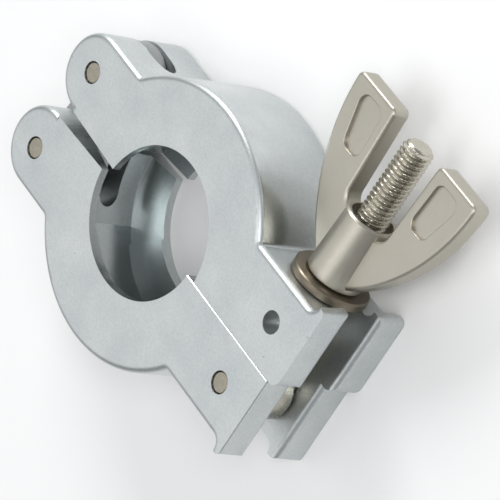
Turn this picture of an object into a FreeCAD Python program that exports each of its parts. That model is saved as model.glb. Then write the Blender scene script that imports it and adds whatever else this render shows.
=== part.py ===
"""Hinged clamping ring for a DN 25 small vacuum flange, drawn in millimetres.

Two die-cast half rings meet on the plane y = 0. The bore runs along Z, the hinge
lies towards -X and the swing bolt towards +X. The origin is the middle of the bore
opening, half way through the ring's thickness.
"""
import FreeCAD, Part
import math
import os
import Sketcher

os.makedirs("parts", exist_ok=True)
doc = FreeCAD.newDocument("clamping_ring")
X_AXIS = FreeCAD.Vector(1, 0, 0)
Z_AXIS = FreeCAD.Vector(0, 0, 1)

# ---------------------------------------------------------------- driving dimensions
SIZES = {
    # half ring
    "ring_radius": 27.8,            # outside of the ring
    "bore_radius": 15.2,            # opening between the two lips
    "groove_radius": 22.0,          # floor of the V-groove that holds the flanges
    "flank_angle": 15.0,            # slope of each groove flank, degrees
    "lip_land": 2.2,                # straight part of each lip, along the bore
    "jaw_thickness": 20.0,
    "mating_recess": 0.85,          # each half ring is this much less than half a circle
    "mating_stock": 3.0,            # cut off the mating side after the rims are rounded
    "relief_inner": 1.55,           # hinge-side mating face, at its bore end
    "relief_inner_x": 10.0,
    "relief_depth": 0.6,            # the flanks step back beside the hinge
    "relief_sweep": 50.0,           # over this angle from the hinge, degrees
    "edge_rounding": 1.2,           # round the ring, the ear and the seat
    "lug_bevel": 0.15,              # down the lug's end and along its mating edge
    "crease_rounding": 1.2,         # where the ring runs into the ear and the lug
    # ear and hinge
    "ear_radius": 7.7,
    "ear_x": 31.6,
    "ear_y": 10.1,
    "hinge_pin_x": 31.8,
    "hinge_pin_y": 10.5,
    "link_slot_width": 4.5,
    "link_slot_radius": 15.8,
    "link_slot_x": 32.0,
    "link_slot_y": 4.0,
    "link_thickness": 4.1,
    "link_end_radius": 7.0,
    "link_hole": 4.1,
    "link_chamfer": 0.4,
    # lug and swing bolt
    "lug_end": 43.35,
    "seat_height": 16.2,
    "end_lip_height": 1.9,
    "end_lip_width": 2.2,
    "end_lip_rounding": 1.3,
    "upper_lug_corner": 2.3,        # at the mating side, round on the upper half ring
    "lower_lug_corner": 0.6,        # and nearly sharp on the lower one
    "bolt_pin_x": 34.6,
    "bolt_pin_y": 8.67,
    "bolt_slot_width": 7.4,
    "bolt_slot_start": 27.4,
    "slot_mouth_rounding": 1.2,     # where the slot opens through the lug's end
    # pins
    "pin_diameter": 4.0,
    "pin_hole": 4.2,
    "pin_length": 19.5,
    "pin_chamfer": 0.25,
    # swing bolt, washer and wing nut
    "bolt_diameter": 5.9,
    "bolt_length": 54.25,           # from the eye's centre to the tip
    "bolt_chamfer": 0.8,
    "eye_radius": 5.6,
    "eye_width": 6.8,
    "eye_rounding": 1.0,
    "eye_hole": 4.1,
    "washer_radius": 7.45,
    "washer_thickness": 1.8,
    "washer_chamfer": 0.25,
    "running_bore": 6.1,
    "nut_gap": 0.05,                # between washer and nut, and between washer and seat
    "barrel_bottom_radius": 5.35,
    "barrel_top_radius": 4.9,
    "barrel_height": 13.2,
    "counterbore_radius": 4.15,
    "counterbore_depth": 2.0,
    "wing_thickness": 4.0,
    "wing_height": 30.8,
    "wing_foot": 0.8,               # the wing leaves the barrel this far above its bottom
    "wing_foot_x": 4.7,
    "wing_reach": 18.9,             # from the axis to the wing's outer edge
    "wing_root": 11.9,              # height where the wing's inner edge runs into the barrel
    "wing_root_x": 4.2,
    "wing_root_rounding": 2.5,
    "wing_sweep_radius": 38.5,
    "wing_top_corner": 1.3,
    "wing_inner_top": 7.1,
    "wing_inner_low": 6.4,
    "wing_crotch": 14.2,
    "wing_rounding": 0.7,
    "pocket_rounding": 0.2,
    "barrel_chamfer": 0.35,
    "pocket_depth": 0.6,
    "pocket_low": 18.7,
    "pocket_high": 28.7,
    "pocket_inner_top": 9.3,
    "pocket_outer_top": 15.9,
    "pocket_inner_low": 8.6,
    "pocket_outer_low": 13.2,
    "pocket_corner": 1.9,
    # how the parts sit together
    "jaw_shift": 1.1,               # each half ring stands off centre by the link's play
}

sheet = doc.addObject("Spreadsheet::Sheet", "sizes")
for row, (alias, value) in enumerate(SIZES.items(), start=1):
    sheet.set("A%d" % row, alias)
    sheet.set("B%d" % row, str(value))
    sheet.setAlias("B%d" % row, alias)
doc.recompute()


# ---------------------------------------------------------------- drawing helpers
def value_of(text):
    """Number that a formula in the sheet's aliases gives."""
    return float(sheet.evalExpression(text))


def new_body(label):
    body = doc.addObject("PartDesign::Body", label)
    body.Label = label
    return body


def new_sketch(body, name, plane, offset=None):
    """Empty sketch on one of the body's own origin planes."""
    sketch = body.newObject("Sketcher::SketchObject", name)
    origin = [item for item in body.Origin.OriginFeatures if item.Role == plane][0]
    sketch.AttachmentSupport = [(origin, "")]
    sketch.MapMode = "FlatFace"
    if offset is not None:
        sketch.AttachmentOffset = FreeCAD.Placement(offset, FreeCAD.Rotation())
    return sketch


def bind(sketch, kind, references, text, name):
    """Dimension whose value is a formula in the sheet's aliases."""
    sketch.addConstraint(Sketcher.Constraint(kind, *references, value_of(text)))
    index = sketch.ConstraintCount - 1
    sketch.renameConstraint(index, name)
    sketch.setExpression("Constraints." + name, text)


def arc_between(start, end, radius, turn):
    """Arc from start to end, bulging left (turn 1) or right (turn -1) of the chord."""
    chord = end.sub(start)
    half = chord.Length / 2
    rise = math.sqrt(max(radius * radius - half * half, 0.0))
    side = FreeCAD.Vector(-chord.y, chord.x, 0).normalize()
    middle = start.add(end).multiply(0.5)
    centre = middle.sub(FreeCAD.Vector(side).multiply(turn * rise))
    crown = centre.add(FreeCAD.Vector(side).multiply(turn * radius))
    return Part.Arc(start, crown, end)


def outline(sketch, corners):
    """Closed outline. Each corner is (x, y) or (x, y, radius, turn) for the arc after it."""
    points = [FreeCAD.Vector(value_of(c[0]), value_of(c[1]), 0) for c in corners]
    first = sketch.GeometryCount
    for index, corner in enumerate(corners):
        start = points[index]
        end = points[(index + 1) % len(points)]
        if len(corner) == 2:
            sketch.addGeometry(Part.LineSegment(start, end), False)
        else:
            sketch.addGeometry(arc_between(start, end, value_of(corner[2]), corner[3]), False)
    # an arc drawn clockwise keeps its own start and end the other way round
    ends = []
    for index, point in enumerate(points):
        edge = first + index
        near = sketch.getPoint(edge, 1).sub(point).Length
        far = sketch.getPoint(edge, 2).sub(point).Length
        ends.append((1, 2) if near < far else (2, 1))
    for index, corner in enumerate(corners):
        edge = first + index
        following = first + (index + 1) % len(points)
        join = (edge, ends[index][1], following, ends[(index + 1) % len(points)][0])
        sketch.addConstraint(Sketcher.Constraint("Coincident", *join))
    for index, corner in enumerate(corners):
        edge = first + index
        tag = "%d_%d" % (first, index)
        bind(sketch, "DistanceX", (-1, 1, edge, ends[index][0]), corner[0], "x" + tag)
        bind(sketch, "DistanceY", (-1, 1, edge, ends[index][0]), corner[1], "y" + tag)
        if len(corner) > 2:
            bind(sketch, "Radius", (edge,), corner[2], "r" + tag)
    return sketch


def circle(sketch, x, y, diameter):
    """Circle by its centre and diameter, all formulas."""
    index = sketch.GeometryCount
    centre = FreeCAD.Vector(value_of(x), value_of(y), 0)
    sketch.addGeometry(Part.Circle(centre, Z_AXIS, value_of(diameter) / 2), False)
    bind(sketch, "DistanceX", (-1, 1, index, 3), x, "cx%d" % index)
    bind(sketch, "DistanceY", (-1, 1, index, 3), y, "cy%d" % index)
    bind(sketch, "Diameter", (index,), diameter, "cd%d" % index)
    return sketch


def swept(body, kind, name, sketch, length):
    """Pad or Pocket that runs the same way to both sides of its sketch."""
    feature = body.newObject("PartDesign::" + kind, name)
    feature.Profile = sketch
    feature.SideType = "Symmetric"
    feature.Length = value_of(length)
    feature.setExpression("Length", length)
    sketch.Visibility = False
    doc.recompute()
    return feature


def turned(body, kind, name, sketch, angle="360"):
    """Revolution or Groove about the sketch's own vertical axis."""
    feature = body.newObject("PartDesign::" + kind, name)
    feature.Profile = sketch
    feature.ReferenceAxis = (sketch, ["V_Axis"])
    feature.Angle = value_of(angle)
    feature.setExpression("Angle", angle)
    doc.recompute()
    return feature


def rounded(body, kind, name, base, size, wanted):
    """Fillet or Chamfer on every edge of the base feature for which wanted(edge) holds."""
    edges = base.Shape.Edges
    names = ["Edge%d" % (n + 1) for n, edge in enumerate(edges) if wanted(edge)]
    feature = body.newObject("PartDesign::" + kind, name)
    feature.Base = (base, names)
    dimension = "Radius" if kind == "Fillet" else "Size"
    setattr(feature, dimension, value_of(size))
    feature.setExpression(dimension, size)
    doc.recompute()
    return feature


def middle_of(edge):
    """Point half way along an edge."""
    return edge.valueAt((edge.FirstParameter + edge.LastParameter) / 2)


# ---------------------------------------------------------------- half ring
EAR_TOP = "sizes.ear_y + sizes.ear_radius"
EAR_BOTTOM = "sizes.ear_y - sizes.ear_radius"
LIP_TOP = "sizes.seat_height + sizes.end_lip_height"
LIP_START = "sizes.lug_end - sizes.end_lip_width"
HALF_THICKNESS = "sizes.jaw_thickness / 2"


def jaw_plan(body, corner):
    """Flat outline of a half ring with its ear and its lug, and stock on its mating side."""
    corners = [
        ("-sizes.ear_x", "-sizes.mating_stock"),
        ("sizes.lug_end - " + corner, "-sizes.mating_stock"),
        ("sizes.lug_end - " + corner, "sizes.mating_recess", corner, -1),
        ("sizes.lug_end", "sizes.mating_recess + " + corner),
        ("sizes.lug_end", LIP_TOP + " - sizes.end_lip_rounding", "sizes.end_lip_rounding", -1),
        ("sizes.lug_end - sizes.end_lip_rounding", LIP_TOP),
        (LIP_START, LIP_TOP, "sizes.end_lip_height", 1),
        (LIP_START + " - sizes.end_lip_height", "sizes.seat_height"),
        ("sqrt(sizes.ring_radius^2 - sizes.seat_height^2)", "sizes.seat_height",
         "sizes.ring_radius", -1),
        ("-sqrt(sizes.ring_radius^2 - (%s)^2)" % EAR_TOP, EAR_TOP),
        ("-sizes.ear_x", EAR_TOP, "sizes.ear_radius", -1),
        ("-sizes.ear_x - sizes.ear_radius", "sizes.ear_y", "sizes.ear_radius", -1),
        ("-sizes.ear_x", EAR_BOTTOM),
    ]
    return outline(new_sketch(body, body.Name + "_plan", "XY_Plane"), corners)


def mating_cut(body, corner):
    """Outline of the stock that comes off the mating side."""
    corners = [
        ("-sizes.ear_x", "-sizes.mating_stock - 1"),
        ("sizes.lug_end - " + corner, "-sizes.mating_stock - 1"),
        ("sizes.lug_end - " + corner, "sizes.mating_recess"),
        ("-sizes.relief_inner_x", "sizes.mating_recess"),
        ("-sizes.relief_inner_x", "sizes.relief_inner"),
        ("-sizes.ear_x", EAR_BOTTOM),
    ]
    return outline(new_sketch(body, body.Name + "_mating_cut", "XY_Plane"), corners)


def groove_profile(body):
    """Half section of the bore and its V-groove, which is turned about the bore's axis."""
    land = HALF_THICKNESS + " - sizes.lip_land"
    slope = "(sizes.groove_radius - sizes.bore_radius) * tan(sizes.flank_angle * 1 deg)"
    floor = land + " - " + slope
    corners = [
        ("0", "-(%s) - 1" % HALF_THICKNESS),
        ("sizes.bore_radius", "-(%s) - 1" % HALF_THICKNESS),
        ("sizes.bore_radius", "-(%s)" % land),
        ("sizes.groove_radius", "-(%s)" % floor),
        ("sizes.groove_radius", floor),
        ("sizes.bore_radius", land),
        ("sizes.bore_radius", HALF_THICKNESS + " + 1"),
        ("0", HALF_THICKNESS + " + 1"),
    ]
    return outline(new_sketch(body, body.Name + "_groove_profile", "XZ_Plane"), corners)


def relief_profile(body):
    """Half section of the groove where its flanks step back, drawn on the hinge side."""
    land = HALF_THICKNESS + " - sizes.lip_land + sizes.relief_depth"
    slope = "(sizes.groove_radius - sizes.bore_radius) * tan(sizes.flank_angle * 1 deg)"
    floor = land + " - " + slope
    inside = "-sizes.bore_radius + 1"
    corners = [
        (inside, "-(%s)" % land),
        ("-sizes.bore_radius", "-(%s)" % land),
        ("-sizes.groove_radius", "-(%s)" % floor),
        ("-sizes.groove_radius", floor),
        ("-sizes.bore_radius", land),
        (inside, land),
    ]
    return outline(new_sketch(body, body.Name + "_relief_profile", "XZ_Plane"), corners)


def link_slot_profile(body):
    """Half section of the round-nosed disc that leaves the link's slot."""
    nose = "sizes.link_slot_radius - sizes.link_slot_width / 2"
    half = "sizes.link_slot_width / 2"
    offset = FreeCAD.Vector(-SIZES["link_slot_x"], 0, -SIZES["link_slot_y"])
    sketch = new_sketch(body, body.Name + "_link_slot_profile", "XZ_Plane", offset)
    sketch.setExpression("AttachmentOffset.Base.x", "-sizes.link_slot_x")
    sketch.setExpression("AttachmentOffset.Base.z", "-sizes.link_slot_y")
    corners = [
        ("0", "-" + half),
        (nose, "-" + half, half, -1),
        ("sizes.link_slot_radius", "0", half, -1),
        (nose, half),
        ("0", half),
    ]
    return outline(sketch, corners)


def bolt_slot_plan(body):
    """Open U, seen from the seat, that the swing bolt passes through."""
    half = "sizes.bolt_slot_width / 2"
    wide = "(%s + sizes.slot_mouth_rounding)" % half
    bend = "sizes.bolt_slot_start + " + half
    mouth = "sizes.lug_end - sizes.slot_mouth_rounding"
    corners = [
        ("sizes.lug_end", "-" + wide),
        ("sizes.lug_end + 2", "-" + wide),
        ("sizes.lug_end + 2", wide),
        ("sizes.lug_end", wide, "sizes.slot_mouth_rounding", 1),
        (mouth, half),
        (bend, half, half, -1),
        ("sizes.bolt_slot_start", "0", half, -1),
        (bend, "-" + half),
        (mouth, "-" + half, "sizes.slot_mouth_rounding", 1),
    ]
    return outline(new_sketch(body, body.Name + "_bolt_slot", "XZ_Plane"), corners)


def bevel_profile(sketch, edge, away):
    """Two triangles that take a 45 degree corner off both faces at one edge of the lug.

    The edge is a formula along the sketch's horizontal, and away is the side, 1 or -1, on
    which the lug ends there.
    """
    sign = "+" if away > 0 else "-"
    back = "-" if away > 0 else "+"
    out = "(%s %s 1)" % (edge, sign)
    start = "(%s %s sizes.lug_bevel %s 1)" % (edge, back, back)
    high = "(%s + 1)" % HALF_THICKNESS
    low = "(%s - sizes.lug_bevel - 1)" % HALF_THICKNESS
    outline(sketch, [(start, high), (out, high), (out, low)])
    return outline(sketch, [(start, "-" + high), (out, "-" + high), (out, "-" + low)])


def make_jaw(name, corner):
    """Half ring in its own frame: mating side down, hinge to the left, bore on Z."""
    body = new_body(name)
    half = SIZES["jaw_thickness"] / 2
    lip_start = value_of(LIP_START)

    blank = swept(body, "Pad", name + "_blank", jaw_plan(body, corner), "sizes.jaw_thickness")

    def crease(edge):
        point = middle_of(edge)
        on_ring = abs(math.hypot(point.x, point.y) - SIZES["ring_radius"]) < 1e-3
        return on_ring and edge.BoundBox.ZLength > half

    smooth = rounded(body, "Fillet", name + "_creases", blank, "sizes.crease_rounding", crease)

    def rim(edge):
        point = middle_of(edge)
        return edge.BoundBox.ZLength < 1e-4 and point.x < lip_start and point.y > -1

    rounded(body, "Fillet", name + "_rims", smooth, "sizes.edge_rounding", rim)
    swept(body, "Pocket", name + "_mating", mating_cut(body, corner),
          "sizes.jaw_thickness + 2")
    end_bevel = new_sketch(body, name + "_end_bevel_profile", "XZ_Plane")
    bevel_profile(end_bevel, "sizes.lug_end", 1)
    swept(body, "Pocket", name + "_end_bevel", end_bevel, "4 * sizes.seat_height")
    seam_bevel = new_sketch(body, name + "_seam_bevel_profile", "YZ_Plane",
                            FreeCAD.Vector(0, 0, SIZES["lug_end"]))
    seam_bevel.setExpression("AttachmentOffset.Base.z", "sizes.lug_end")
    bevel_profile(seam_bevel, "sizes.mating_recess", -1)
    swept(body, "Pocket", name + "_seam_bevel", seam_bevel, "2 * sizes.lug_end")
    turned(body, "Groove", name + "_bore", groove_profile(body))
    relief = turned(body, "Groove", name + "_relief", relief_profile(body), "sizes.relief_sweep")
    relief.Reversed = True
    turned(body, "Groove", name + "_link_slot", link_slot_profile(body))
    swept(body, "Pocket", name + "_bolt_slot_cut", bolt_slot_plan(body), "4 * sizes.lug_end")
    holes = new_sketch(body, name + "_holes", "XY_Plane")
    circle(holes, "-sizes.hinge_pin_x", "sizes.hinge_pin_y", "sizes.pin_hole")
    circle(holes, "sizes.bolt_pin_x", "sizes.bolt_pin_y", "sizes.pin_hole")
    swept(body, "Pocket", name + "_pin_holes", holes, "sizes.jaw_thickness + 2")
    return body


# ---------------------------------------------------------------- link and pins
LINK_PITCH = "sqrt(4 * sizes.jaw_shift^2 + 4 * (sizes.hinge_pin_y - sizes.mating_recess)^2)"


def make_link(name):
    """Flat bar with two holes: lower hole on the origin, upper hole along +Y."""
    body = new_body(name)
    sketch = new_sketch(body, name + "_plan", "XY_Plane")
    outline(sketch, [
        ("sizes.link_end_radius", "0"),
        ("sizes.link_end_radius", LINK_PITCH, "sizes.link_end_radius", -1),
        ("0", LINK_PITCH + " + sizes.link_end_radius", "sizes.link_end_radius", -1),
        ("-sizes.link_end_radius", LINK_PITCH),
        ("-sizes.link_end_radius", "0", "sizes.link_end_radius", -1),
        ("0", "-sizes.link_end_radius", "sizes.link_end_radius", -1),
    ])
    circle(sketch, "0", "0", "sizes.link_hole")
    circle(sketch, "0", LINK_PITCH, "sizes.link_hole")
    bar = swept(body, "Pad", name + "_bar", sketch, "sizes.link_thickness")
    pitch = value_of(LINK_PITCH)

    def outer(edge):
        point = middle_of(edge)
        from_hole = min(math.hypot(point.x, point.y), math.hypot(point.x, point.y - pitch))
        return edge.BoundBox.ZLength < 1e-4 and from_hole > SIZES["link_hole"]

    rounded(body, "Chamfer", name + "_edges", bar, "sizes.link_chamfer", outer)
    return body


def make_pin(name):
    """Round pin along Z, centred on the origin, with broken end corners."""
    body = new_body(name)
    sketch = circle(new_sketch(body, name + "_end", "XY_Plane"), "0", "0", "sizes.pin_diameter")
    rod = swept(body, "Pad", name + "_rod", sketch, "sizes.pin_length")

    def end_corner(edge):
        return edge.BoundBox.ZLength < 1e-4

    rounded(body, "Chamfer", name + "_ends", rod, "sizes.pin_chamfer", end_corner)
    return body


# ---------------------------------------------------------------- swing bolt and its nut
def make_bolt(name):
    """Eye bolt along +Z with its eye, bored along Y, on the origin."""
    body = new_body(name)
    eye_side = new_sketch(body, name + "_eye_side", "XZ_Plane")
    circle(eye_side, "0", "0", "2 * sizes.eye_radius")
    eye = swept(body, "Pad", name + "_eye", eye_side, "sizes.eye_width")

    def eye_corner(edge):
        return edge.BoundBox.YLength < 1e-4

    rounded(body, "Fillet", name + "_eye_rounding", eye, "sizes.eye_rounding", eye_corner)
    shank = new_sketch(body, name + "_shank_profile", "XZ_Plane")
    outline(shank, [
        ("0", "0"),
        ("sizes.bolt_diameter / 2", "0"),
        ("sizes.bolt_diameter / 2", "sizes.bolt_length - sizes.bolt_chamfer"),
        ("sizes.bolt_diameter / 2 - sizes.bolt_chamfer", "sizes.bolt_length"),
        ("0", "sizes.bolt_length"),
    ])
    turned(body, "Revolution", name + "_shank", shank)
    hole = circle(new_sketch(body, name + "_eye_hole", "XZ_Plane"), "0", "0", "sizes.eye_hole")
    swept(body, "Pocket", name + "_eye_bore", hole, "2 * sizes.eye_width")
    return body


def make_washer(name):
    """Flat washer along +Z, its lower face on the origin."""
    body = new_body(name)
    inside = "sizes.running_bore / 2"
    outside = "sizes.washer_radius"
    sketch = new_sketch(body, name + "_profile", "XZ_Plane")
    outline(sketch, [
        (inside, "0"),
        (outside + " - sizes.washer_chamfer", "0"),
        (outside, "sizes.washer_chamfer"),
        (outside, "sizes.washer_thickness - sizes.washer_chamfer"),
        (outside + " - sizes.washer_chamfer", "sizes.washer_thickness"),
        (inside, "sizes.washer_thickness"),
    ])
    turned(body, "Revolution", name + "_ring", sketch)
    return body


def wing_outline(body, name):
    """One wing, from inside the barrel to its blunt top."""
    corner = "sizes.wing_top_corner"
    return outline(new_sketch(body, name, "XZ_Plane"), [
        ("0", "sizes.wing_foot"),
        ("sizes.wing_foot_x", "sizes.wing_foot", "sizes.wing_sweep_radius", -1),
        ("sizes.wing_reach", "sizes.wing_height - " + corner, corner, -1),
        ("sizes.wing_reach - " + corner, "sizes.wing_height"),
        ("sizes.wing_inner_top + " + corner, "sizes.wing_height", corner, -1),
        ("sizes.wing_inner_top", "sizes.wing_height - " + corner),
        ("sizes.wing_inner_low", "sizes.wing_crotch", "sizes.wing_root_rounding", 1),
        ("sizes.wing_root_x", "sizes.wing_root"),
        ("0", "sizes.wing_root"),
    ])


def pocket_outline(sketch):
    """Shallow pocket in a wing's flat side, a trapezium with round corners."""
    corner = SIZES["pocket_corner"]
    names = [("pocket_inner_low", "pocket_low"), ("pocket_outer_low", "pocket_low"),
             ("pocket_outer_top", "pocket_high"), ("pocket_inner_top", "pocket_high")]
    points = [FreeCAD.Vector(SIZES[x], SIZES[y], 0) for x, y in names]
    corners = []
    for index, point in enumerate(points):
        before = points[index - 1].sub(point).normalize()
        after = points[(index + 1) % len(points)].sub(point).normalize()
        setback = corner / math.tan(before.getAngle(after) / 2)
        x, y = names[index]
        for direction, tail in ((before, (corner, 1)), (after, ())):
            corners.append((
                "sizes.%s + (%.4f)" % (x, direction.x * setback),
                "sizes.%s + (%.4f)" % (y, direction.y * setback),
            ) + tuple(("sizes.pocket_corner", -1) if tail else ()))
    return outline(sketch, corners)


def make_wing_nut(name):
    """Wing nut along +Z, its lower face on the origin, wings in the XZ plane."""
    body = new_body(name)
    barrel = new_sketch(body, name + "_barrel_profile", "XZ_Plane")
    outline(barrel, [
        ("0", "0"),
        ("sizes.barrel_bottom_radius", "0"),
        ("sizes.barrel_top_radius", "sizes.barrel_height"),
        ("0", "sizes.barrel_height"),
    ])
    turned(body, "Revolution", name + "_barrel", barrel)
    core = swept(body, "Pad", name + "_wing_core", wing_outline(body, name + "_core_outline"),
                 "sizes.wing_thickness - 2 * sizes.pocket_depth")
    rim_sketch = wing_outline(body, name + "_rim_outline")
    pocket_outline(rim_sketch)
    rim = swept(body, "Pad", name + "_wing_rim", rim_sketch, "sizes.wing_thickness")
    mirrored = body.newObject("PartDesign::Mirrored", name + "_wings")
    mirrored.Originals = [core, rim]
    side = [item for item in body.Origin.OriginFeatures if item.Role == "YZ_Plane"][0]
    mirrored.MirrorPlane = (side, [""])
    body.Tip = mirrored
    doc.recompute()
    flat = SIZES["wing_thickness"] / 2

    def on_flat_side(edge):
        point = middle_of(edge)
        return edge.BoundBox.YLength < 1e-3 and abs(abs(point.y) - flat) < 1e-3

    def on_pocket(edge):
        point = middle_of(edge)
        between = SIZES["pocket_low"] - 0.1 < point.z < SIZES["pocket_high"] + 0.1
        return between and abs(point.x) < SIZES["pocket_outer_top"] + 0.1 and (
            abs(point.x) > SIZES["pocket_inner_low"] - 0.1)

    def wing_edge(edge):
        clear = abs(middle_of(edge).x) > SIZES["wing_foot_x"] + 0.3
        return on_flat_side(edge) and clear and not on_pocket(edge)

    def pocket_edge(edge):
        return on_flat_side(edge) and on_pocket(edge)

    def barrel_end(edge):
        height = middle_of(edge).z
        return edge.BoundBox.ZLength < 1e-3 and (
            abs(height) < 1e-3 or abs(height - SIZES["barrel_height"]) < 1e-3)

    wings = rounded(body, "Fillet", name + "_wing_edges", mirrored, "sizes.wing_rounding",
                    wing_edge)
    pockets = rounded(body, "Fillet", name + "_pocket_edges", wings, "sizes.pocket_rounding",
                      pocket_edge)
    rounded(body, "Chamfer", name + "_barrel_ends", pockets, "sizes.barrel_chamfer", barrel_end)
    bore = new_sketch(body, name + "_bore_profile", "XZ_Plane")
    sink = "sizes.barrel_height - sizes.counterbore_depth"
    outline(bore, [
        ("0", "-1"),
        ("sizes.running_bore / 2", "-1"),
        ("sizes.running_bore / 2", sink),
        ("sizes.counterbore_radius", sink),
        ("sizes.counterbore_radius", "sizes.barrel_height + 1"),
        ("0", "sizes.barrel_height + 1"),
    ])
    turned(body, "Groove", name + "_bore", bore)
    return body


# ---------------------------------------------------------------- assembly
def place(body, x, y, z, axis=Z_AXIS, angle=0.0):
    """Stand a finished part in the clamp's frame, turned about one of its axes."""
    body.Placement = FreeCAD.Placement(FreeCAD.Vector(x, y, z),
                                       FreeCAD.Rotation(axis, angle))
    return body


shift = SIZES["jaw_shift"]
recess = SIZES["mating_recess"]
hinge_x = SIZES["hinge_pin_x"]
hinge_y = SIZES["hinge_pin_y"] - recess
bolt_x = SIZES["bolt_pin_x"] - shift
bolt_y = recess - SIZES["bolt_pin_y"]
seat = SIZES["seat_height"] - recess
washer_at = seat + SIZES["nut_gap"]
nut_at = washer_at + SIZES["washer_thickness"] + SIZES["nut_gap"]
link_tilt = -math.degrees(math.atan2(2 * shift, 2 * hinge_y))

place(make_jaw("upper_jaw", "sizes.upper_lug_corner"), shift, -recess, 0)
place(make_jaw("lower_jaw", "sizes.lower_lug_corner"), -shift, recess, 0, X_AXIS, 180)
place(make_link("hinge_link"), -hinge_x - shift, -hinge_y, 0, Z_AXIS, link_tilt)
place(make_pin("upper_hinge_pin"), shift - hinge_x, hinge_y, 0)
place(make_pin("lower_hinge_pin"), -shift - hinge_x, -hinge_y, 0)
place(make_pin("bolt_pin"), bolt_x, bolt_y, 0)
place(make_bolt("swing_bolt"), bolt_x, bolt_y, 0, X_AXIS, -90)
place(make_washer("washer"), bolt_x, washer_at, 0, X_AXIS, -90)
place(make_wing_nut("wing_nut"), bolt_x, nut_at, 0, X_AXIS, -90)
doc.recompute()

# ---------------------------------------------------------------- checks and export
faults = [item.Name for item in doc.Objects
          if "Invalid" in item.State or "Error" in item.State]
if faults:
    raise RuntimeError("features with a fault: " + ", ".join(faults))
for part in doc.Objects:
    if part.TypeId != "PartDesign::Body":
        continue
    shape = part.Shape
    if shape.isNull() or not shape.isValid() or len(shape.Solids) != 1:
        raise RuntimeError(part.Label + " is not one sound solid")
    shape.exportStep("parts/%s.step" % part.Label)
    print("%-16s %9.1f mm3" % (part.Label, shape.Volume))
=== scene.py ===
# %% [markdown]
# # A hinged clamping ring
# This clamp squeezes two small vacuum flanges together. Two die-cast half rings hang on a
# steel link, a bolt swings up between their lugs, and a wing nut pulls the ring shut.
# The shapes and their places come from a CAD model, which is loaded first and never moved.
# Blender's share is the look: the bolt's thread, the knurled pins, and every surface finish.

# %% Load the model
import math

import bmesh
import bpy
from mathutils import Matrix, Vector


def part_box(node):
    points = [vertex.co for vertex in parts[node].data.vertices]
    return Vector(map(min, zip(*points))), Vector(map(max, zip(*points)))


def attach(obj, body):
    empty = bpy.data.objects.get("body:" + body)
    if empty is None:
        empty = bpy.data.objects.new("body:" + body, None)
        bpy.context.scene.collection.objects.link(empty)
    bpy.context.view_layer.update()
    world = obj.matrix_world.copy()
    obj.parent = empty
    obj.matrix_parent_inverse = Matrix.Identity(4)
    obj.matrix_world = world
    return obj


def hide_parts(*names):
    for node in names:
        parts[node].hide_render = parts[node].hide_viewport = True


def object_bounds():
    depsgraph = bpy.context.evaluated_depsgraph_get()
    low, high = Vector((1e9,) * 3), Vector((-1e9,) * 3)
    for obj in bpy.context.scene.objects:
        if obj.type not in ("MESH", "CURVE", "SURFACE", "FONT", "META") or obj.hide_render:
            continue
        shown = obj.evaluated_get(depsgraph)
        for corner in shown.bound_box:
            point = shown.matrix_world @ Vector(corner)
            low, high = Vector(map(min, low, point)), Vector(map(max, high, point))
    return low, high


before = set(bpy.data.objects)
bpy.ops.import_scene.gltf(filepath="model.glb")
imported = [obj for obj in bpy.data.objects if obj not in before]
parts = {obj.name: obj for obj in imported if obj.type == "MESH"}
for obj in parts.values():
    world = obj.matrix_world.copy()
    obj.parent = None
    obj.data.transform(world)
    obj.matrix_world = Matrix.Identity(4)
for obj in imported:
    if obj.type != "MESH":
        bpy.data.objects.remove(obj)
cad_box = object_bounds()
scene = bpy.context.scene
MM = 0.001
print("parts:", ", ".join(sorted(parts)))

# %% [markdown]
# ## The camera
# A long lens from about 80 cm away keeps parallel edges nearly parallel, as in a catalogue
# picture. The camera looks down at the ring's front from the bolt's side. It is also rolled,
# so its place is built from two directions: one back towards the camera, and one that is up
# in the picture. Their cross product is the picture's right.

# %% Camera
aim = Vector((7.8, 2.5, -8.0)) * MM
distance = 807.6 * MM
back = Vector((0.5845, 0.4153, 0.6970)).normalized()
right = Vector((-0.6439, 0.7601, 0.0872)).cross(back).normalized()
up = back.cross(right)
camera = bpy.data.objects.new("camera", bpy.data.cameras.new("camera"))
camera.data.lens = 327.5
camera.data.sensor_width = 36.0
camera.matrix_world = (Matrix.Translation(aim + back * distance)
                       @ Matrix((right, up, back)).transposed().to_4x4())
scene.collection.objects.link(camera)
scene.camera = camera
print("camera at", [round(value, 4) for value in camera.matrix_world.translation])

# %% [markdown]
# ## The table and the light
# Bare metal has almost no colour of its own: it shows whatever stands around it. A white
# table, a pale room and large round soft lamps give it long bright reflections with gentle
# ends. The biggest lamp stands where the flat front faces mirror it into the camera, and a
# smaller one behind the clamp draws the bright line along every rounded edge. The last one
# stands near the camera and lights the table that shows through the bore.

# %% Table and lamps
scene.view_settings.view_transform = "Standard"


def srgb(code):
    """Linear colour, with alpha, of a hex code such as C6CCCC."""
    channels = [int(code[i:i + 2], 16) / 255 for i in (0, 2, 4)]
    return [c / 12.92 if c <= 0.04045 else ((c + 0.055) / 1.055) ** 2.4
            for c in channels] + [1.0]


def add_node(tree, kind, links=(), **settings):
    """Add a node and fill its inputs, in order or by name, with values or links.

    A node that is given as a link stands for its own first output.
    """
    node = tree.nodes.new(kind)
    for name, value in settings.items():
        setattr(node, name, value)
    for name, value in links.items() if isinstance(links, dict) else enumerate(links):
        if isinstance(value, bpy.types.Node):
            value = value.outputs[0]
        if isinstance(value, bpy.types.NodeSocket):
            tree.links.new(value, node.inputs[name])
        else:
            node.inputs[name].default_value = value
    return node


def new_material(name):
    """Empty material, with its node tree and its output node."""
    material = bpy.data.materials.new(name)
    material.use_nodes = True
    material.node_tree.nodes.clear()
    output = add_node(material.node_tree, "ShaderNodeOutputMaterial")
    return material, material.node_tree, output


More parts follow.
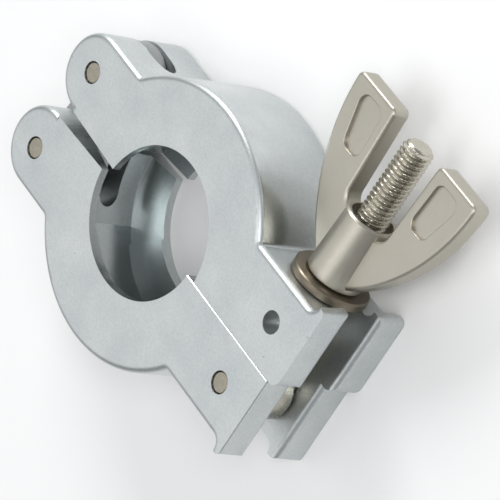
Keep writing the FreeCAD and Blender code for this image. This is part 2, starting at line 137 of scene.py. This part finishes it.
floor_level = cad_box[0][2] - 0.05 * MM
floor_mesh = bpy.data.meshes.new("table")
half_side = 3.0
corners = [(-half_side, -half_side), (half_side, -half_side), (half_side, half_side),
           (-half_side, half_side)]
floor_mesh.from_pydata([(x, y, floor_level) for x, y in corners], [], [(0, 1, 2, 3)])
table = bpy.data.objects.new("table", floor_mesh)
scene.collection.objects.link(table)
paper, tree, output = new_material("white_table_paper")
shader = add_node(tree, "ShaderNodeBsdfPrincipled", {
    "Base Color": srgb("F7F7F7"), "Roughness": 0.9, "Specular IOR Level": 0.2})
tree.links.new(shader.outputs["BSDF"], output.inputs["Surface"])
floor_mesh.materials.append(paper)

world = bpy.data.worlds.new("pale_room")
scene.world = world
world.use_nodes = True
world.node_tree.nodes["Background"].inputs["Color"].default_value = srgb("F4F6F8")
world.node_tree.nodes["Background"].inputs["Strength"].default_value = 0.35


def soft_lamp(name, direction, distance, size, watts):
    """Round area lamp that shines at the clamp from one direction."""
    light = bpy.data.lights.new(name, "AREA")
    light.shape = "DISK"
    light.size = size
    light.energy = watts
    lamp = bpy.data.objects.new(name, light)
    toward = Vector(direction).normalized()
    lamp.location = toward * distance
    lamp.rotation_euler = toward.to_track_quat("Z", "Y").to_euler()
    scene.collection.objects.link(lamp)
    return lamp


lamps = [
    soft_lamp("face_lamp", (-0.585, -0.415, 0.697), 1.0, 0.9, 1.45),
    soft_lamp("edge_lamp", (-0.58, 0.70, 0.41), 0.9, 0.4, 4.2),
    soft_lamp("top_lamp", (0.1, -0.1, 1.0), 1.0, 0.8, 3.0),
    soft_lamp("near_lamp", (0.58, 0.42, 0.70), 1.1, 0.5, 3.4),
]
print(len(lamps), "lamps")

# %% [markdown]
# ## Finish of the half rings
# Die-cast aluminium, tumbled. Tumbling leaves a fine even grain, so the faces look matt and
# slightly blue, with a few pits where the casting was porous. The outside of the ring is
# rubbed smoother than the flat faces, so it mirrors the wing nut, and the groove inside is
# turned smooth too. Masks pick both by their distance from the bore's axis.

# %% Die-cast aluminium
def per_mm(size):
    """Noise scale that makes one blob of the pattern that many millimetres wide."""
    return 1.0 / (size * MM)


ring_radius, ring_band = 27.8 * MM, 1.6 * MM
groove_radius, groove_half_width = 22.3 * MM, 9.95 * MM
# in mm; the grain is drawn coarser than a real one, so that it shows
grain_size, mottle_size, pit_spacing = 0.45, 9.0, 2.6
smooth_share = 0.8

cast_aluminium, tree, output = new_material("die_cast_aluminium_tumbled")
coords = add_node(tree, "ShaderNodeTexCoord").outputs
grain = add_node(tree, "ShaderNodeTexNoise", {
    "Vector": coords["Object"], "Scale": per_mm(grain_size), "Detail": 4.0,
    "Roughness": 0.6}).outputs["Fac"]
mottle = add_node(tree, "ShaderNodeTexNoise", {
    "Vector": coords["Object"], "Scale": per_mm(mottle_size), "Detail": 3.0}).outputs["Fac"]
pits = add_node(tree, "ShaderNodeTexVoronoi", {
    "Vector": coords["Object"], "Scale": per_mm(pit_spacing), "Randomness": 1.0}).outputs

# a pit's floor is 0 and the surface round it is 1; only one cell in five has a pit
pit_wall = add_node(tree, "ShaderNodeMapRange", {
    "Value": pits["Distance"], "From Min": 0.02, "From Max": 0.07})
pit_draw = add_node(tree, "ShaderNodeSeparateColor", {"Color": pits["Color"]})
smooth = add_node(tree, "ShaderNodeMath", (pit_draw.outputs["Red"], smooth_share),
                  operation="LESS_THAN")
pit_height = add_node(tree, "ShaderNodeMath", (pit_wall, smooth), operation="MAXIMUM")

# mask of the ring's outside: near its radius, and facing sideways
place = add_node(tree, "ShaderNodeSeparateXYZ", (coords["Object"],)).outputs
facing = add_node(tree, "ShaderNodeSeparateXYZ", (coords["Normal"],)).outputs
flat_place = add_node(tree, "ShaderNodeCombineXYZ", (place["X"], place["Y"], 0.0))
from_axis = add_node(tree, "ShaderNodeVectorMath", (flat_place,),
                     operation="LENGTH").outputs["Value"]
on_ring = add_node(tree, "ShaderNodeMath", (from_axis, ring_radius, ring_band),
                   operation="COMPARE")
up_or_down = add_node(tree, "ShaderNodeMath", (facing["Z"],), operation="ABSOLUTE")
upright = add_node(tree, "ShaderNodeMapRange", {
    "Value": up_or_down, "From Min": 0.15, "From Max": 0.5, "To Min": 1.0, "To Max": 0.0})
rubbed = add_node(tree, "ShaderNodeMath", (on_ring, upright), operation="MULTIPLY")

# mask of the bore and its groove: inside the groove's radius, and below the flat faces
within = add_node(tree, "ShaderNodeMath", (from_axis, groove_radius), operation="LESS_THAN")
depth = add_node(tree, "ShaderNodeMath", (place["Z"],), operation="ABSOLUTE")
below = add_node(tree, "ShaderNodeMath", (depth, groove_half_width), operation="LESS_THAN")
bored = add_node(tree, "ShaderNodeMath", (within, below), operation="MULTIPLY")
polished = add_node(tree, "ShaderNodeMath", (rubbed, bored), operation="MAXIMUM")
roughness = add_node(tree, "ShaderNodeMapRange", {
    "Value": polished, "To Min": 0.42, "To Max": 0.2})

# two tints in broad patches, a fine speckle over them, and grey pits
tint = add_node(tree, "ShaderNodeMix", {
    "Factor": mottle, 6: srgb("BCC3C4"), 7: srgb("D9DCDC")}, data_type="RGBA")
speckle = add_node(tree, "ShaderNodeMapRange", {
    "Value": grain, "From Min": 0.3, "From Max": 0.7, "To Min": 0.9, "To Max": 1.04})
tint_speckled = add_node(tree, "ShaderNodeVectorMath", {
    0: tint.outputs[2], "Scale": speckle}, operation="SCALE")
tint_pitted = add_node(tree, "ShaderNodeMix", {
    "Factor": pit_height, 6: srgb("8B9090"), 7: tint_speckled}, data_type="RGBA")
bump = add_node(tree, "ShaderNodeBump", {
    "Height": grain, "Strength": 0.35, "Distance": 0.03 * MM})
shader = add_node(tree, "ShaderNodeBsdfPrincipled", {
    "Base Color": tint_pitted.outputs[2], "Metallic": 1.0, "Roughness": roughness,
    "Normal": bump})
tree.links.new(shader.outputs["BSDF"], output.inputs["Surface"])
print("finish:", cast_aluminium.name)

# %% [markdown]
# ## Finishes of the small steel parts
# Each is a bare or plated metal, told apart by colour and by how it was made. The link is
# stamped from dull sheet, the pins are cropped wire with a warm cast, the bolt's thread is
# rolled and bright, and the washer is turned, which leaves fine rings round its hole. The
# wing nut is die-cast and plated with satin nickel, which is a little yellow.

# %% Plain metals
def metal(name, dark, light, size, roughness, bump_depth, turned_at=None):
    """Metal that drifts between two tints, with a fine grain or with turned rings.

    The rings run round a line along Y through the place turned_at. They are wider apart
    than on a real washer, so that they show.
    """
    material, tree, output = new_material(name)
    coords = add_node(tree, "ShaderNodeTexCoord").outputs
    drift = add_node(tree, "ShaderNodeTexNoise", {
        "Vector": coords["Object"], "Scale": per_mm(size), "Detail": 4.0}).outputs["Fac"]
    fine = add_node(tree, "ShaderNodeTexNoise", {
        "Vector": coords["Object"], "Scale": per_mm(fine_size),
        "Detail": 3.0}).outputs["Fac"]
    tint = add_node(tree, "ShaderNodeMix", {
        "Factor": drift, 6: srgb(dark), 7: srgb(light)}, data_type="RGBA")
    shine = add_node(tree, "ShaderNodeMapRange", {
        "Value": fine, "From Min": 0.3, "From Max": 0.7,
        "To Min": roughness - 0.04, "To Max": roughness + 0.06})
    height = fine
    if turned_at is not None:
        level = add_node(tree, "ShaderNodeVectorMath", (coords["Object"], (1.0, 0.0, 1.0)),
                         operation="MULTIPLY")
        centre = (turned_at.x, 0.0, turned_at.z)
        spread = add_node(tree, "ShaderNodeVectorMath", (level, centre),
                          operation="DISTANCE").outputs["Value"]
        turns = add_node(tree, "ShaderNodeMath", (spread, 2 * math.pi / ring_spacing),
                         operation="MULTIPLY")
        height = add_node(tree, "ShaderNodeMath", (turns,), operation="SINE")
    bump = add_node(tree, "ShaderNodeBump", {
        "Height": height, "Strength": 0.3, "Distance": bump_depth * MM})
    shader = add_node(tree, "ShaderNodeBsdfPrincipled", {
        "Base Color": tint.outputs[2], "Metallic": 1.0, "Roughness": shine,
        "Normal": bump})
    tree.links.new(shader.outputs["BSDF"], output.inputs["Surface"])
    print("finish:", name)
    return material


fine_size, ring_spacing = 0.4, 0.5 * MM
washer_low, washer_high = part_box("washer")
link_steel = metal("stamped_link_steel", "8E9090", "A6A8A8", 3.0, 0.35, 0.02)
pin_steel = metal("cropped_pin_steel", "8F8A7C", "B5B0A2", 0.9, 0.42, 0.06)
bolt_steel = metal("rolled_thread_steel", "B5B1A4", "CCC8BC", 4.0, 0.27, 0.01)
washer_steel = metal("turned_washer_steel", "716859", "857D70", 2.0, 0.36, 0.02,
                     turned_at=(washer_low + washer_high) / 2)
satin_nickel = metal("satin_nickel_plate", "B5B1A5", "BDB9AE", 5.0, 0.42, 0.008)

# %% [markdown]
# ## A grid wrapped round an axis
# The bolt's thread and the knurled pins share one idea. A flat grid of points is rolled into
# a tube, so each point has a turn, from 0 to 1 round the axis, and a height along it. Only
# the radius then differs, and a short formula gives it. The first and last rows are pulled
# in to the axis, which closes the ends. Geometry Nodes do this well, because each formula
# stays visible as nodes and its sizes are named inputs.

# %% Helper that wraps a grid
def size_inputs(tree, names):
    """Named number inputs of a geometry tree, and its group input node."""
    tree.interface.new_socket("Geometry", in_out="OUTPUT", socket_type="NodeSocketGeometry")
    for name in names:
        tree.interface.new_socket(name, in_out="INPUT", socket_type="NodeSocketFloat")
    for name in ("Around", "Rows"):
        tree.interface.new_socket(name, in_out="INPUT", socket_type="NodeSocketInt")
    tree.interface.new_socket("Finish", in_out="INPUT", socket_type="NodeSocketMaterial")
    return add_node(tree, "NodeGroupInput").outputs


def wrapped_grid(tree, sizes):
    """Grid, and for each of its points the turn, the height and whether it isn't an end."""
    grid = add_node(tree, "GeometryNodeMeshGrid", {
        "Size X": 1.0, "Size Y": 1.0, "Vertices X": sizes["Around"],
        "Vertices Y": sizes["Rows"]})
    position = add_node(tree, "GeometryNodeInputPosition")
    spot = add_node(tree, "ShaderNodeSeparateXYZ", (position,)).outputs
    turn = add_node(tree, "ShaderNodeMath", (spot["X"], 0.5), operation="ADD")

    # the grid is 1 wide, so one row is one part in the number of rows less one
    steps = add_node(tree, "ShaderNodeMath", (sizes["Rows"], 1.0), operation="SUBTRACT")
    row = add_node(tree, "ShaderNodeMath", (1.0, steps), operation="DIVIDE")
    top = add_node(tree, "ShaderNodeMath", (0.5, row), operation="SUBTRACT")
    bottom = add_node(tree, "ShaderNodeMath", (top, -1.0), operation="MULTIPLY")
    height = add_node(tree, "ShaderNodeMapRange", {
        "Value": spot["Y"], "From Min": bottom, "From Max": top,
        "To Min": sizes["Start"], "To Max": sizes["End"]})

    # the cap is half a row in from the grid's ends, so only the first and last rows pass it
    half_row = add_node(tree, "ShaderNodeMath", (row, 0.5), operation="MULTIPLY")
    cap = add_node(tree, "ShaderNodeMath", (0.5, half_row), operation="SUBTRACT")
    off_centre = add_node(tree, "ShaderNodeMath", (spot["Y"],), operation="ABSOLUTE")
    open_row = add_node(tree, "ShaderNodeMath", (off_centre, cap), operation="LESS_THAN")
    return grid, turn, height, open_row


def rolled_up(tree, mesh, turn, height, radius, sizes):
    """Move the grid's points to their turn, height and radius, and finish the tree."""
    angle = add_node(tree, "ShaderNodeMath", (turn, 2 * math.pi), operation="MULTIPLY")
    cosine = add_node(tree, "ShaderNodeMath", (angle,), operation="COSINE")
    sine = add_node(tree, "ShaderNodeMath", (angle,), operation="SINE")
    x = add_node(tree, "ShaderNodeMath", (radius, cosine), operation="MULTIPLY")
    y = add_node(tree, "ShaderNodeMath", (radius, sine), operation="MULTIPLY")
    point = add_node(tree, "ShaderNodeCombineXYZ", (x, y, height))
    moved = add_node(tree, "GeometryNodeSetPosition", {"Geometry": mesh, "Position": point})
    welded = add_node(tree, "GeometryNodeMergeByDistance", {
        "Geometry": moved, "Distance": 0.002 * MM})
    real = add_node(tree, "GeometryNodeRealizeInstances", {"Geometry": welded})
    finished = add_node(tree, "GeometryNodeSetMaterial", {
        "Geometry": real, "Material": sizes["Finish"]})
    add_node(tree, "NodeGroupOutput", {"Geometry": finished})


def run_tree(tree, name, values, place):
    """Plain mesh object that a geometry tree makes, moved to its place on the clamp."""
    carrier = bpy.data.objects.new(name + "_carrier", bpy.data.meshes.new(name))
    scene.collection.objects.link(carrier)
    modifier = carrier.modifiers.new("shape", "NODES")
    modifier.node_group = tree
    for item in tree.interface.items_tree:
        if item.item_type == "SOCKET" and item.in_out == "INPUT":
            modifier[item.identifier] = values[item.name]
    evaluated = carrier.evaluated_get(bpy.context.evaluated_depsgraph_get())
    mesh = bpy.data.meshes.new_from_object(evaluated)
    bpy.data.objects.remove(carrier)
    mesh.materials.pop(index=0)     # the grid's own empty slot
    mesh.transform(place)
    piece = bpy.data.objects.new(name, mesh)
    scene.collection.objects.link(piece)
    print(name, len(mesh.polygons), "faces")
    return piece


# %% [markdown]
# ## The bolt's thread
# An M6 thread climbs 1 mm each turn. Counting the height in pitches and taking away the turn
# gives a number that is whole in every root, so its fractional part says where a point lies
# between two roots. Folding that part makes an even wave, and clipping the wave's top and
# bottom gives the flat roots and crests of a rolled thread. A cone cuts the tip's chamfer.

# %% Thread tree
thread_tree = bpy.data.node_groups.new("rolled_thread", "GeometryNodeTree")
sizes = size_inputs(thread_tree, ["Start", "End", "Radius", "Depth", "Pitch", "Chamfer"])
mesh, turn, height, open_row = wrapped_grid(thread_tree, sizes)
pitches = add_node(thread_tree, "ShaderNodeMath", (height, sizes["Pitch"]),
                   operation="DIVIDE")
climb = add_node(thread_tree, "ShaderNodeMath", (pitches, turn), operation="SUBTRACT")
phase = add_node(thread_tree, "ShaderNodeMath", (climb,), operation="FRACT")
doubled = add_node(thread_tree, "ShaderNodeMath", (phase, 2.0), operation="MULTIPLY")
centred = add_node(thread_tree, "ShaderNodeMath", (doubled, 1.0), operation="SUBTRACT")
wave = add_node(thread_tree, "ShaderNodeMath", (centred,), operation="ABSOLUTE")
groove = add_node(thread_tree, "ShaderNodeMapRange", {
    "Value": wave, "From Min": 0.14, "From Max": 0.8, "To Min": 0.0,
    "To Max": sizes["Depth"]})
crest = add_node(thread_tree, "ShaderNodeMath", (sizes["Radius"], groove),
                 operation="SUBTRACT")
tip_radius = add_node(thread_tree, "ShaderNodeMath", (sizes["Radius"], sizes["Chamfer"]),
                      operation="SUBTRACT")
to_tip = add_node(thread_tree, "ShaderNodeMath", (sizes["End"], height),
                  operation="SUBTRACT")
cone = add_node(thread_tree, "ShaderNodeMath", (tip_radius, to_tip), operation="ADD")
cut = add_node(thread_tree, "ShaderNodeMath", (crest, cone), operation="MINIMUM")
radius = add_node(thread_tree, "ShaderNodeMath", (cut, open_row), operation="MULTIPLY")
rolled_up(thread_tree, mesh, turn, height, radius, sizes)

pin_low, pin_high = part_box("bolt_pin")
pin_centre = (pin_low + pin_high) / 2
bolt_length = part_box("swing_bolt")[1].y - pin_centre.y
along_bolt = Matrix.Translation(pin_centre) @ Matrix.Rotation(math.radians(-90), 4, "X")
thread = run_tree(thread_tree, "bolt_thread", {
    "Start": 4.0 * MM, "End": bolt_length, "Radius": 2.94 * MM, "Depth": 0.56 * MM,
    "Pitch": 1.0 * MM, "Chamfer": 0.8 * MM, "Around": 49, "Rows": 602,
    "Finish": bolt_steel}, along_bolt)

# %% [markdown]
# ## The bolt's eye
# The eye is forged: a thick ring with rounded shoulders round the pin. Its section is drawn
# as a short list of corners and spun round the pin. The ring is then joined to the thread
# as one piece, and both wear the bolt's steel.

# %% Eye
def spun(name, section, axis_point, steps):
    """Ring made by spinning a closed section (radius, height) round a line along Z."""
    points, faces = [], []
    count = len(section)
    for step in range(steps):
        angle = 2 * math.pi * step / steps
        points += [(axis_point.x + r * math.cos(angle), axis_point.y + r * math.sin(angle),
                    axis_point.z + z) for r, z in section]
        here, there = step * count, (step + 1) % steps * count
        for i in range(count):
            j = (i + 1) % count
            faces.append((here + i, there + i, there + j, here + j))
    mesh = bpy.data.meshes.new(name)
    mesh.from_pydata(points, [], faces)
    mesh.validate()
    return mesh


def arc(centre_r, centre_z, size, start, end, steps=6):
    """Points of a rounded corner in a section, angles in degrees."""
    return [(centre_r + size * math.cos(math.radians(start + (end - start) * i / steps)),
             centre_z + size * math.sin(math.radians(start + (end - start) * i / steps)))
            for i in range(steps + 1)]


eye_radius, eye_half, eye_round, eye_bore = 5.6 * MM, 3.4 * MM, 1.0 * MM, 2.06 * MM
section = ([(eye_bore, eye_half), (eye_bore, -eye_half)]
           + arc(eye_radius - eye_round, -eye_half + eye_round, eye_round, -90, 0)
           + arc(eye_radius - eye_round, eye_half - eye_round, eye_round, 0, 90))
eye_mesh = spun("bolt_eye", section, pin_centre, 64)
joined = bmesh.new()
joined.from_mesh(eye_mesh)
joined.from_mesh(thread.data)
joined.to_mesh(thread.data)
joined.free()
thread.name = "swing_bolt_threaded"
print("bolt:", len(thread.data.polygons), "faces")

# %% [markdown]
# ## The knurled pins
# The three pins are pressed into the castings, and teeth rolled on their ends keep them from
# turning. A cosine of the turn makes the teeth, and a mask keeps them to the ends. The pins
# end a little below the face, so each shows a dark notched rim.

# %% Pin tree
pin_tree = bpy.data.node_groups.new("knurled_pin", "GeometryNodeTree")
sizes = size_inputs(pin_tree, ["Start", "End", "Radius", "Tooth", "Teeth", "Grip", "Chamfer"])
mesh, turn, height, open_row = wrapped_grid(pin_tree, sizes)
full_turn = add_node(pin_tree, "ShaderNodeMath", (sizes["Teeth"], 2 * math.pi),
                     operation="MULTIPLY")
swing = add_node(pin_tree, "ShaderNodeMath", (turn, full_turn), operation="MULTIPLY")
ripple = add_node(pin_tree, "ShaderNodeMath", (swing,), operation="COSINE")
tooth = add_node(pin_tree, "ShaderNodeMapRange", {
    "Value": ripple, "From Min": -0.5, "From Max": 0.6, "To Min": 0.0,
    "To Max": sizes["Tooth"]})
off_centre = add_node(pin_tree, "ShaderNodeMath", (height,), operation="ABSOLUTE")
end_gap = add_node(pin_tree, "ShaderNodeMath", (sizes["End"], off_centre),
                   operation="SUBTRACT")
gripped = add_node(pin_tree, "ShaderNodeMath", (end_gap, sizes["Grip"]),
                   operation="LESS_THAN")
toothed = add_node(pin_tree, "ShaderNodeMath", (tooth, gripped, sizes["Radius"]),
                   operation="MULTIPLY_ADD")
end_radius = add_node(pin_tree, "ShaderNodeMath", (sizes["Radius"], sizes["Chamfer"]),
                      operation="SUBTRACT")
cone = add_node(pin_tree, "ShaderNodeMath", (end_radius, end_gap), operation="ADD")
cut = add_node(pin_tree, "ShaderNodeMath", (toothed, cone), operation="MINIMUM")
radius = add_node(pin_tree, "ShaderNodeMath", (cut, open_row), operation="MULTIPLY")
rolled_up(pin_tree, mesh, turn, height, radius, sizes)

knurled_pins = {}
for node in ("lower_hinge_pin", "upper_hinge_pin", "bolt_pin"):
    low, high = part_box(node)
    knurled_pins[node] = run_tree(pin_tree, node + "_knurled", {
        "Start": (low.z - high.z) / 2, "End": (high.z - low.z) / 2, "Radius": 1.85 * MM,
        "Tooth": 0.18 * MM, "Teeth": 14.0, "Grip": 3.0 * MM, "Chamfer": 0.1 * MM,
        "Around": 181, "Rows": 202, "Finish": pin_steel},
        Matrix.Translation((low + high) / 2))

# %% [markdown]
# ## Dressing the parts
# The half rings, the link, the washer and the wing nut keep their CAD shape and only get a
# finish. The new pieces ride on the same bodies as the parts that they stand for.

# %% Finishes and bodies
dressing = {"lower_jaw": cast_aluminium, "upper_jaw": cast_aluminium,
            "hinge_link": link_steel, "washer": washer_steel, "wing_nut": satin_nickel}
for node, finish in dressing.items():
    mesh = parts[node].data
    mesh.materials.clear()
    mesh.materials.append(finish)
for node, piece in knurled_pins.items():
    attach(piece, "upper_half" if node == "upper_hinge_pin" else "lower_half")
    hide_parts(node)
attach(thread, "bolt")
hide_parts("swing_bolt")
